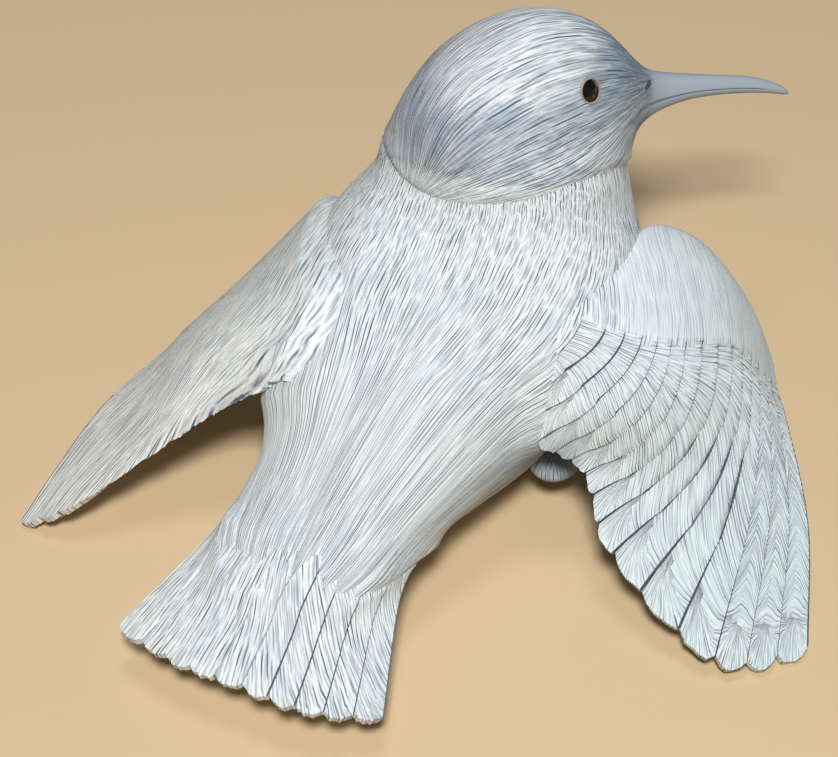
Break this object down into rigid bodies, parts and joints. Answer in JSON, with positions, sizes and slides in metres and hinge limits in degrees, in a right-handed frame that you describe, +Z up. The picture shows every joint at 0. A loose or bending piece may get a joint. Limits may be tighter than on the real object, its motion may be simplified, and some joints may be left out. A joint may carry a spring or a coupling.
{
  "type": "bird sculpture",
  "caption": "Carved wooden bird with a long bill, lying on its breast with half-open wings, fanned tail and turned head with glass eyes.",
  "frame": {"origin": "centre of the bounding box's base, on the surface that the bird lies on", "axes": "+Z up, +Y from the tail towards the breast along the body, +X to the bird's right"},
  "size_m": [0.175, 0.1714, 0.0958],
  "materials": {
    "primed wood": "pale blue-grey primer with dark slate-blue in the carved grooves, matt",
    "black glass": "polished black"
  },
  "bodies": {
    "root": {"carved_bird": "primed wood", "glass_eye_right": "black glass", "glass_eye_left": "black glass"}
  },
  "joints": []
}
